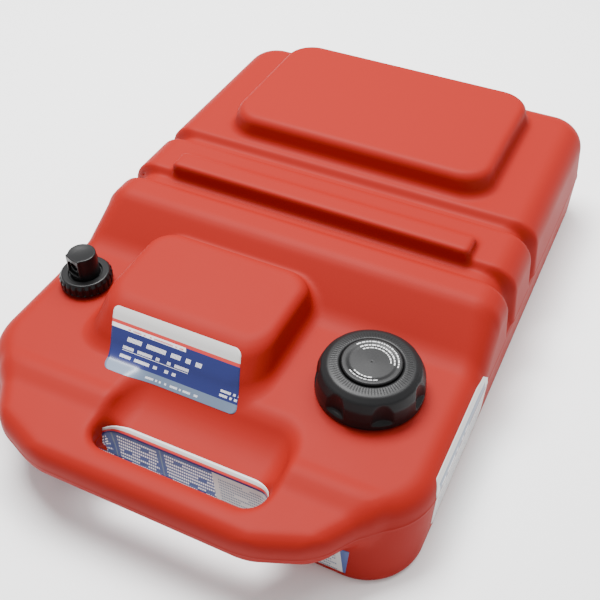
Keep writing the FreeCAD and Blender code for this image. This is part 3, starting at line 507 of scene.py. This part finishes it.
def printed_arcs(name, arcs):
    """Rows of short printed dashes along arcs of (radius, first angle, last angle)."""
    chance = random.Random(7)
    half_line, gap, lift, steps = 0.55 * mm, 0.9 * mm, 0.06 * mm, 4
    points, faces = [], []
    for radius, first, last in arcs:
        angle = math.radians(first)
        while angle < math.radians(last):
            dash = chance.uniform(1.2, 4.2) * mm / radius
            for k in range(steps + 1):
                turn = angle + dash * k / steps
                for rim in (radius - half_line, radius + half_line):
                    points.append((filler.x + rim * math.cos(turn), filler.y + rim * math.sin(turn),
                                   filler.z + disc_height(rim) + lift))
                if k:
                    n = len(points)
                    faces.append((n - 4, n - 3, n - 1, n - 2))
            angle += dash + gap / radius
    return make_piece(name, points, faces, "filler_cap", print_white)


printed_arcs("cap_print", [(22.6 * mm, 5, 150), (19.2 * mm, 12, 143), (16 * mm, 18, 135),
                           (21.5 * mm, 232, 300), (17.8 * mm, 236, 292)])

# Ring nut: a black moulded nut with small square notches, a chamfered lower skirt and a flat top ring.
# It clamps the turret's flange on the outlet neck, and its bore passes over the turret's hood.
outlet_black = new_paint("outlet_black", (0.006, 0.006, 0.0065), 0.36, Specular_IOR_Level=0.25)
add_grain(outlet_black, 1600, 0.08 * mm, 0.26, 0.4)
nut_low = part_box("outlet_ring_nut")[0].z - deck_height
nut_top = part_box("outlet_ring_nut")[1].z - deck_height
nut_radius = 25.2 * mm
notches = 24


def nut_notches(radius, height, angle):
    """Cuts the notches into the side, with a small bump on each side of them."""
    notch_depth, bump_height, bump_width, bump_off = 1.2 * mm, 0.35 * mm, 0.7 * mm, 3.2 * mm
    step = 2 * math.pi / notches
    away = np.abs((angle + step / 2) % step - step / 2) * nut_radius
    notch = 1 - ease(away, 0.8 * mm, 1.6 * mm)
    side = ease(radius, 23.6 * mm, 24.4 * mm) * ease(height, nut_low + 2 * mm, nut_low + 3 * mm)
    below_top = (height - nut_top + 4.6 * mm) / (0.8 * mm)
    bump = np.exp(-((away - bump_off) / bump_width) ** 2 - below_top ** 2)
    return radius + side * (bump_height * bump - notch_depth * notch), height


nut_outline = [(nut_radius - 2 * mm, nut_low), (nut_radius, nut_low + 2.4 * mm),
               (nut_radius, nut_top - 3.6 * mm), (nut_radius - 2.6 * mm, nut_top - 0.2 * mm),
               (nut_radius - 3.4 * mm, nut_top), (16.1 * mm, nut_top), (16.1 * mm, nut_top - 2 * mm),
               (21.2 * mm, nut_top - 2.4 * mm), (21.2 * mm, nut_low)]
sides_per_notch = 20
nut = turned_piece("outlet_nut", fine_ring(nut_outline, 0.8 * mm, 0.7 * mm), outlet,
                   notches * sides_per_notch, "ring_nut", outlet_black, nut_notches)
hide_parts("outlet_ring_nut")

# Outlet turret: a black moulded tower with a squared hood over the port that a fuel line plugs into.
# Its flange lies under the nut, and a nipple below carries the pickup tube.
port_turn = math.radians(15)
port_height = 27 * mm
turret_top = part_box("outlet_body")[1].z - deck_height - 0.05 * mm


def turret_form(x, y, z):
    """The tower with its hood, port, flange and nipple. side runs across the port and depth along it."""
    east, north, up = x - outlet.x, y - outlet.y, z - outlet.z
    side = east * math.cos(port_turn) - north * math.sin(port_turn)
    depth = east * math.sin(port_turn) + north * math.cos(port_turn)
    round_off = np.hypot(side, depth)
    barrel = np.maximum(round_off - 13.9 * mm + 0.03 * (up - 14 * mm), 2 * mm - up)
    hood = meet(np.abs(side) - 9.3 * mm, -12.5 * mm - depth, 1.2 * mm)
    hood = np.maximum(np.maximum(hood, depth), 16.6 * mm - up)
    tower = meet(fuse(barrel, hood, 1 * mm), up - turret_top, 0.9 * mm)
    dish = np.sqrt(round_off ** 2 + (up - turret_top - 70 * mm) ** 2) - 70.9 * mm
    tower = carve(tower, dish, 0.5 * mm)
    arch = np.where(up > port_height, np.hypot(side, up - port_height), np.abs(side)) - 7 * mm
    arch = np.maximum(arch, 19 * mm - up)
    tower = carve(tower, np.maximum(arch, depth + 9.6 * mm), 0.5 * mm)
    off_port = np.hypot(side, up - port_height)
    collar = np.maximum(off_port - 5.7 * mm, np.abs(depth + 8 * mm) - 2.9 * mm)
    tower = fuse(tower, collar, 0.3 * mm)
    port = np.maximum(off_port - 4.6 * mm, depth + 2.5 * mm)
    way = np.maximum(off_port - 3.9 * mm, depth - 9.6 * mm)
    tower = carve(tower, np.minimum(port, way), 0.3 * mm)
    flange = np.maximum(round_off - 18.7 * mm, np.abs(up - 11.1 * mm) - 1 * mm)
    off_nipple = np.hypot(side, depth - 5 * mm)
    nipple = np.maximum(off_nipple - 3.5 * mm, np.abs(up + 3 * mm) - 8 * mm)
    fuel_way = np.maximum(off_nipple - 2.2 * mm, up - port_height)
    whole = np.minimum(np.minimum(tower, flange), nipple)
    return np.maximum(whole, -fuel_way)


fine = 0.6 * mm
turret_reach, nipple_end, most_pull = 20 * mm, -12.5 * mm, 0.4 * mm
turret_steps = np.arange(-turret_reach, turret_reach + fine, fine)
turret_points, turret_faces = wrap(turret_form, outlet.x + turret_steps, outlet.y + turret_steps,
                                   outlet.z + np.arange(nipple_end, turret_top + 2 * fine, fine),
                                   3, most_pull)
turret = make_piece("outlet_turret", turret_points, turret_faces, "tank", outlet_black)
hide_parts("outlet_body")

# Labels: three printed vinyl films pressed onto the skin, each following the skin under it.
# Their designs are plain bands, rules and rows of short dashes.


def film(name, node, origin, across, up, rows, skin, paint, size):
    """A film of (height, left, right) rows, laid against the skin along its own normal.
    The print's place is kept as the film's UV."""
    across, up = np.array(across, float), np.array(up, float)
    normal = np.cross(across, up)
    columns, lift, thickness, rounds = 60, 0.25 * mm, 0.22 * mm, 8
    points, uvs = [], []
    for height, left, right in rows:
        for k in range(columns + 1):
            where = left + (right - left) * k / columns
            points.append(np.array(origin) + across * where + up * height)
            uvs.append((where / size[0] + 0.5, height / size[1]))
    points = np.array(points)
    for _ in range(rounds):
        points = points - normal * (skin(*points.T) - lift)[:, None]
    faces = []
    for i in range(len(rows) - 1):
        for k in range(columns):
            n = i * (columns + 1) + k
            faces.append((n, n + 1, n + columns + 2, n + columns + 1))
    piece = make_piece(name, points, faces, "tank", paint)
    layer = piece.data.uv_layers.new(name="print")
    for loop in piece.data.loops:
        layer.data[loop.index].uv = uvs[loop.vertex_index]
    thick = piece.modifiers.new("thickness", "SOLIDIFY")
    thick.thickness = thickness
    thick.offset = -1
    if node:
        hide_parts(node)
    return piece


def rounded_rows(low, high, left, right, corner, lean=0.0):
    """Rows of a film with round corners, its top moved to one side by the lean."""
    rows = []
    steps = 48
    for i in range(steps + 1):
        share = (1 - math.cos(math.pi * i / steps)) / 2
        height = low + (high - low) * share
        inside = min(height - low, high - height)
        trim = corner - math.sqrt(max(corner ** 2 - max(corner - inside, 0) ** 2, 0))
        shift = -lean * share
        rows.append((height, left + trim + shift, right - trim + shift))
    return rows


class Print:
    """Colours a film from its UV: plain bars, and rows of dashes, each over the last."""

    def __init__(self, name, ground, roughness=0.32):
        self.paint = new_paint(name, ground, roughness, Specular_IOR_Level=0.5)
        self.nodes, self.links = self.paint.node_tree.nodes, self.paint.node_tree.links
        place = self.nodes.new("ShaderNodeUVMap")
        place.uv_map = "print"
        split = self.nodes.new("ShaderNodeSeparateXYZ")
        self.links.new(place.outputs["UV"], split.inputs["Vector"])
        self.across, self.up = split.outputs["X"], split.outputs["Y"]
        ground_colour = self.nodes.new("ShaderNodeRGB")
        ground_colour.outputs[0].default_value = (*ground, 1)
        self.colour = ground_colour.outputs[0]

    def sum(self, operation, first, second, third=None):
        node = self.nodes.new("ShaderNodeMath")
        node.operation = operation
        for socket, value in zip(node.inputs, (first, second, third)):
            if isinstance(value, (int, float)):
                socket.default_value = value
            elif value is not None:
                self.links.new(value, socket)
        return node.outputs[0]

    def within(self, value, low, high):
        return self.sum("COMPARE", value, (low + high) / 2, (high - low) / 2)

    def area(self, left, right, low, high, slant=0.0):
        across = self.sum("MULTIPLY_ADD", self.up, slant, self.across) if slant else self.across
        return self.sum("MULTIPLY", self.within(across, left, right), self.within(self.up, low, high))

    def lay(self, mask, colour):
        mix = self.nodes.new("ShaderNodeMix")
        mix.data_type = "RGBA"
        self.links.new(mask, mix.inputs["Factor"])
        self.links.new(self.colour, mix.inputs["A"])
        mix.inputs["B"].default_value = (*colour, 1)
        self.colour = mix.outputs["Result"]

    def bar(self, left, right, low, high, colour, slant=0.0):
        self.lay(self.area(left, right, low, high, slant), colour)

    def dashes(self, left, right, low, high, colour, rows, words, fill=0.6, slant=0.0):
        """Rows of short broken dashes, like fine print seen from afar."""
        line_height, letters, letter_width = 0.55, 4, 0.7
        row = self.sum("MULTIPLY", self.sum("SUBTRACT", self.up, low), rows / (high - low))
        line = self.sum("LESS_THAN", self.sum("FRACT", row, 0), line_height)
        cell = self.sum("FLOOR", self.sum("MULTIPLY", self.across, words), 0)
        place = self.nodes.new("ShaderNodeCombineXYZ")
        self.links.new(cell, place.inputs["X"])
        self.links.new(self.sum("FLOOR", row, 0), place.inputs["Y"])
        noise = self.nodes.new("ShaderNodeTexWhiteNoise")
        noise.noise_dimensions = "2D"
        self.links.new(place.outputs[0], noise.inputs["Vector"])
        words_here = self.sum("LESS_THAN", noise.outputs["Value"], fill)
        letter = self.sum("FRACT", self.sum("MULTIPLY", self.across, words * letters), 0)
        words_here = self.sum("MULTIPLY", words_here, self.sum("LESS_THAN", letter, letter_width))
        mask = self.sum("MULTIPLY", self.sum("MULTIPLY", line, words_here),
                        self.area(left, right, low, high, slant))
        self.lay(mask, colour)

    def finish(self):
        shader = self.nodes["Principled BSDF"]
        self.links.new(self.colour, shader.inputs["Base Color"])
        return self.paint


film_white = (0.5, 0.49, 0.48)
film_red = (0.5, 0.035, 0.03)
film_navy = (0.012, 0.018, 0.11)
film_slate = (0.11, 0.15, 0.22)
film_ink = (0.75, 0.75, 0.78)
film_blue = (0.03, 0.055, 0.2)

# Boss label: the plate of film on the slope of the boss, in white, red, navy and slate bands.
# Its corners are round, and its top edge is set to the left of its foot.
boss_print = Print("boss_label_print", film_navy)
boss_print.bar(-0.2, 1.2, 0.78, 1.1, film_white)
boss_print.bar(-0.2, 1.2, 0.725, 0.78, film_red)
boss_print.bar(-0.2, 0.62, 0.66, 0.725, film_ink, slant=0.15)
boss_print.dashes(0.06, 0.5, 0.67, 0.715, film_red, 1, 60, 0.75)
boss_print.dashes(0.06, 0.66, 0.5, 0.63, film_ink, 1, 26, 0.85)
boss_print.dashes(0.06, 0.58, 0.37, 0.46, film_ink, 1, 34, 0.8)
boss_print.bar(0.06, 0.58, 0.345, 0.352, film_ink)
boss_print.dashes(0.06, 0.5, 0.23, 0.32, film_ink, 1, 34, 0.8)
boss_print.dashes(0.84, 0.97, 0.2, 0.34, film_ink, 2, 60, 0.75)
boss_print.bar(-0.2, 1.2, -0.1, 0.16, film_slate)
boss_print.dashes(0.3, 0.7, 0.05, 0.11, film_ink, 1, 70, 0.7)
boss_width, boss_length, boss_corner, boss_lean = 130 * mm, 55 * mm, 6 * mm, 14 * mm
boss_foot = (-29.5 * mm, handle_front + 108.5 * mm, 72 * mm)
face_angle = math.atan2(0.7035, 0.711)
boss_up = (0, math.cos(face_angle), math.sin(face_angle))
boss_rows = rounded_rows(0, boss_length, -boss_width / 2, boss_width / 2, boss_corner, boss_lean)
film("boss_label_film", "boss_label", boss_foot, (1, 0, 0), boss_up, boss_rows, outer_form,
     boss_print.finish(), (boss_width, boss_length))

# Front label: the wide sheet of film on the leaning front wall, seen through the hand slot and under
# the handle. Its middle part climbs into the slot.
front_print = Print("front_label_print", film_blue)
front_print.dashes(0.02, 0.98, 0.06, 0.88, film_ink, 16, 40, 0.8)
for divider in (0.355, 0.5):
    front_print.bar(divider - 0.012, divider + 0.012, 0.05, 0.9, film_blue, slant=0.05)
    front_print.bar(divider - 0.002, divider + 0.002, 0.05, 0.9, film_slate, slant=0.05)
front_print.bar(0.655, 1.0, 0.05, 0.9, film_white, slant=0.05)
front_print.dashes(0.67, 0.985, 0.09, 0.85, film_slate, 18, 50, 0.85, slant=0.05)
front_print.bar(0, 1, 0.9, 0.925, film_navy)
front_print.bar(0, 1, 0.925, 0.955, film_red)
front_print.bar(0, 1, 0.955, 1.1, film_white)
front_print.bar(0, 1, -0.1, 0.05, film_slate)
front_paint = front_print.finish()
wall_angle = math.atan2(1, 0.25)
front_origin = (2 * mm, handle_front + 46 * mm, 0)
front_up = (0, math.cos(wall_angle), math.sin(wall_angle))
front_width = 328 * mm
front_length = 63 * mm
front_film = film("front_label_film", "front_label", front_origin, (1, 0, 0), front_up,
                  [(h * mm, -front_width / 2, front_width / 2) for h in range(8, 34, 2)],
                  outer_form, front_paint, (front_width, front_length))
film("front_label_top_film", None, front_origin, (1, 0, 0), front_up,
     [(h * mm, -67 * mm, 92 * mm) for h in range(32, 64, 1)], outer_form, front_paint,
     (front_width, front_length))

# Side label: the pale film on the right side wall, with clipped corners
side_print = Print("side_label_print", film_white)
side_print.dashes(0.06, 0.94, 0.1, 0.62, film_slate, 9, 90, 0.6)
side_print.bar(0.06, 0.94, 0.72, 0.9, film_slate)
side_print.dashes(0.1, 0.6, 0.76, 0.86, film_ink, 1, 30, 0.8)
side_length, side_height, side_clip, side_steps = 138 * mm, 60 * mm, 8 * mm, 30
side_rows = []
for i in range(side_steps + 1):
    level = side_height * i / side_steps
    clip = max(0, side_clip - min(level, side_height - level))
    side_rows.append((level, -side_length / 2 + clip, side_length / 2 - clip))
film("side_label_film", "side_label", (half_waist, handle_front + 183.5 * mm, 11 * mm), (0, 1, 0),
     (0, 0, 1), side_rows, outer_form, side_print.finish(), (side_length, side_height))

# Inner pieces: the cap's core, ratchet and vent, the seals and springs, the outlet's valve and the
# pickup inside the tank. They keep the shapes of the construction and take only their own finish.
core_grey = new_paint("core_grey", (0.1, 0.1, 0.11), 0.42)
add_grain(core_grey, 1200, 0.08 * mm, 0.36, 0.48)
seal_rubber = new_paint("seal_rubber", (0.02, 0.02, 0.02), 0.75, Specular_IOR_Level=0.3)
add_grain(seal_rubber, 1500, 0.1 * mm, 0.7, 0.85)
spring_steel = new_paint("spring_steel", (0.6, 0.6, 0.61), 0.28, Metallic=1.0)
add_grain(spring_steel, 3000, 0.02 * mm, 0.22, 0.34)
valve_brass = new_paint("valve_brass", (0.68, 0.48, 0.2), 0.3, Metallic=1.0)
add_grain(valve_brass, 2500, 0.02 * mm, 0.25, 0.36)
tube_white = new_paint("tube_white", (0.78, 0.78, 0.74), 0.45, Subsurface_Weight=0.15,
                       Subsurface_Scale=0.003)
add_grain(tube_white, 1200, 0.05 * mm, 0.4, 0.5)
inner_finish = {
    core_grey: ("cap_core", "cap_ratchet_ring", "vent_valve_body", "vent_poppet"),
    seal_rubber: ("cap_gasket", "vent_seal", "outlet_gasket", "valve_seat_ring"),
    spring_steel: ("vent_spring", "valve_spring"),
    outlet_black: ("outlet_slip_washer", "valve_plug"),
    valve_brass: ("valve_poppet",),
    tube_white: ("pickup_tube", "pickup_strainer"),
}
for paint, names in inner_finish.items():
    for node_name in names:
        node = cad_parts[node_name]
        node.data.materials.clear()
        node.data.materials.append(paint)

# Studio: a plain pale floor, an even sky, a broad soft light from above and a weaker one from behind.
# The camera stands at the photograph's viewing angle.
far = 6
floor_points = [(-far, -far, 0), (far, -far, 0), (far, far, 0), (-far, far, 0)]
floor_mesh = bpy.data.meshes.new("floor")
floor_mesh.from_pydata(floor_points, [], [(0, 1, 2, 3)])
floor = bpy.data.objects.new("floor", floor_mesh)
bpy.context.scene.collection.objects.link(floor)
floor_paint = new_paint("floor_pale", (0.97, 0.97, 0.97), 0.9)
floor_mesh.materials.append(floor_paint)

world = bpy.data.worlds.new("studio")
bpy.context.scene.world = world
world.use_nodes = True
world.node_tree.nodes["Background"].inputs["Color"].default_value = (1, 1, 1, 1)
world.node_tree.nodes["Background"].inputs["Strength"].default_value = 0.75


def soft_light(name, place, target, width, power):
    lamp = bpy.data.lights.new(name, "AREA")
    lamp.shape = "RECTANGLE"
    lamp.size = width
    lamp.size_y = width * 0.7
    lamp.energy = power
    light = bpy.data.objects.new(name, lamp)
    bpy.context.scene.collection.objects.link(light)
    light.location = place
    light.rotation_euler = (Vector(target) - Vector(place)).to_track_quat("-Z", "Y").to_euler()


soft_light("key_light", (-0.6, 0.45, 2.1), (0, 0, 0.1), 1.3, 125)
soft_light("top_light", (0.5, 0.9, 2.2), (0, 0, 0.1), 1.6, 40)

camera_turn = math.radians(24.74)
camera_rise = math.radians(43.4975)
camera_roll = math.radians(0.761)
backward = Vector((math.sin(camera_turn) * math.cos(camera_rise),
                   -math.cos(camera_turn) * math.cos(camera_rise), math.sin(camera_rise)))
level = Vector((0, 0, 1)).cross(backward).normalized()
upright = backward.cross(level)
camera_x = level * math.cos(camera_roll) + upright * math.sin(camera_roll)
camera_y = -level * math.sin(camera_roll) + upright * math.cos(camera_roll)
camera_data = bpy.data.cameras.new("camera")
camera_data.sensor_width = 36
camera_data.lens = 54.59
camera_data.shift_x = -0.0151
camera_data.shift_y = -0.0058
camera = bpy.data.objects.new("camera", camera_data)
bpy.context.scene.collection.objects.link(camera)
camera_place = Vector((0.2966, -0.6314, 0.6805))
camera.matrix_world = Matrix((
    (camera_x.x, camera_y.x, backward.x, camera_place.x),
    (camera_x.y, camera_y.y, backward.y, camera_place.y),
    (camera_x.z, camera_y.z, backward.z, camera_place.z),
    (0, 0, 0, 1)))
bpy.context.scene.camera = camera
